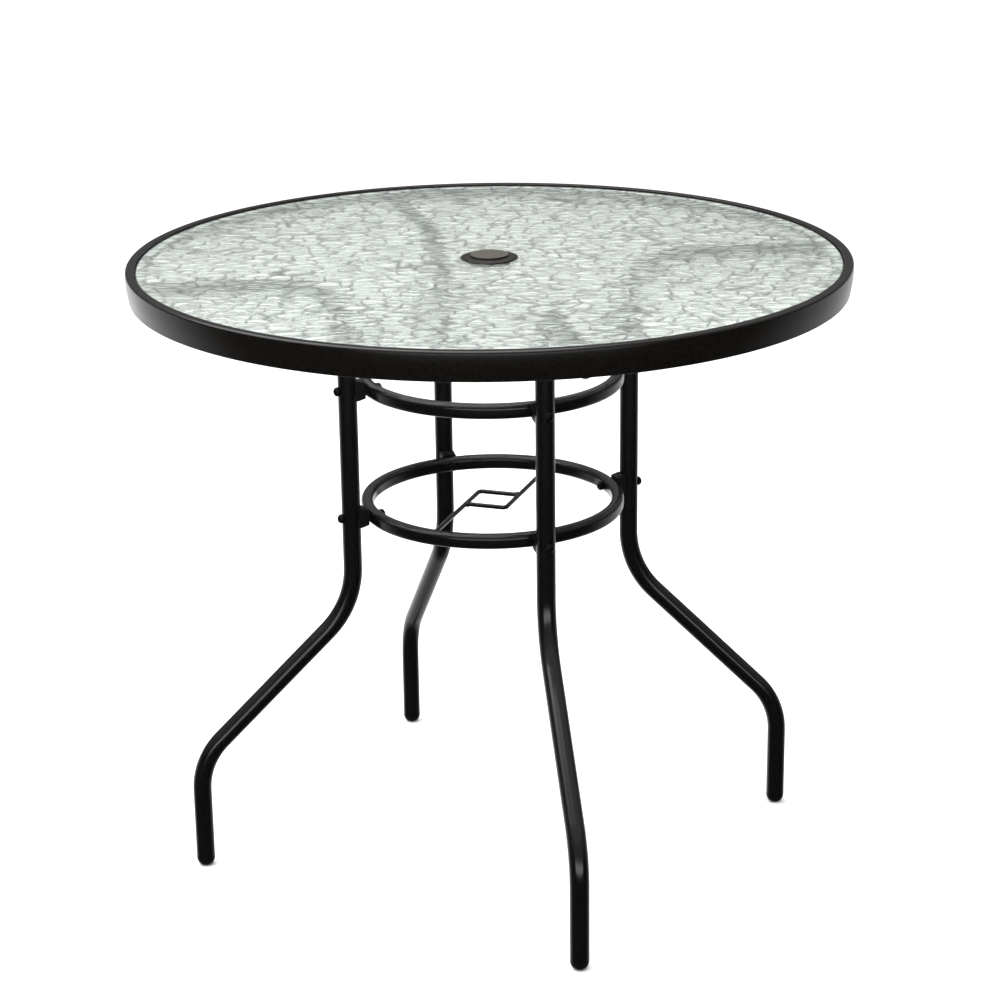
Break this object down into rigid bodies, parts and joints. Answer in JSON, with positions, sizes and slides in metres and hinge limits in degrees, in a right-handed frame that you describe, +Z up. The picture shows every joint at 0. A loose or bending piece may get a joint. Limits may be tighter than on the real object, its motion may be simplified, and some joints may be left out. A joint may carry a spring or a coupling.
{
  "type": "umbrella table",
  "caption": "Round patio table with a patterned glass top in a steel rim, bent tube legs, ring braces, an umbrella hole with a lift-out cap and a wire pole guide.",
  "frame": {"origin": "on the floor under the middle of the top", "axes": "+Z up, the table's axis of turn; -Y faces the camera of the picture"},
  "size_m": [0.8128, 0.8128, 0.7136],
  "materials": {
    "powder_coat": "satin black powder coat",
    "patterned_glass": "clear tempered glass with a wave pattern underneath",
    "rubber": "matte black",
    "grommet_plastic": "semi-gloss dark grey",
    "black_plastic": "moulded, matte black",
    "bolt_steel": "black coated steel"
  },
  "bodies": {
    "table": {"rim_band": "powder_coat", "rim_ledge": "powder_coat", "glass_gasket": "rubber", "glass_top": "patterned_glass", "umbrella_grommet": "grommet_plastic", "leg_front": "powder_coat", "foot_plug_front": "black_plastic", "arm_plug_front": "black_plastic", "arm_bolt_front": "bolt_steel", "leg_right": "powder_coat", "foot_plug_right": "black_plastic", "arm_plug_right": "black_plastic", "arm_bolt_right": "bolt_steel", "leg_back": "powder_coat", "foot_plug_back": "black_plastic", "arm_plug_back": "black_plastic", "arm_bolt_back": "bolt_steel", "leg_left": "powder_coat", "foot_plug_left": "black_plastic", "arm_plug_left": "black_plastic", "arm_bolt_left": "bolt_steel", "lower_ring": "powder_coat", "lower_spacer_front": "black_plastic", "lower_bolt_front": "bolt_steel", "lower_nut_front": "bolt_steel", "lower_spacer_right": "black_plastic", "lower_bolt_right": "bolt_steel", "lower_nut_right": "bolt_steel", "lower_spacer_back": "black_plastic", "lower_bolt_back": "bolt_steel", "lower_nut_back": "bolt_steel", "lower_spacer_left": "black_plastic", "lower_bolt_left": "bolt_steel", "lower_nut_left": "bolt_steel", "upper_ring": "powder_coat", "upper_spacer_front": "black_plastic", "upper_bolt_front": "bolt_steel", "upper_nut_front": "bolt_steel", "upper_spacer_right": "black_plastic", "upper_bolt_right": "bolt_steel", "upper_nut_right": "bolt_steel", "upper_spacer_back": "black_plastic", "upper_bolt_back": "bolt_steel", "upper_nut_back": "bolt_steel", "upper_spacer_left": "black_plastic", "upper_bolt_left": "bolt_steel", "upper_nut_left": "bolt_steel", "pole_guide_front": "powder_coat", "pole_guide_back": "powder_coat"},
    "cap": {"umbrella_cap": "grommet_plastic"}
  },
  "joints": [
    {"name": "cap_lift", "type": "slide", "parent": "table", "child": "cap", "axis": [0, 0, 1], "range_m": [0, 0.06]}
  ]
}
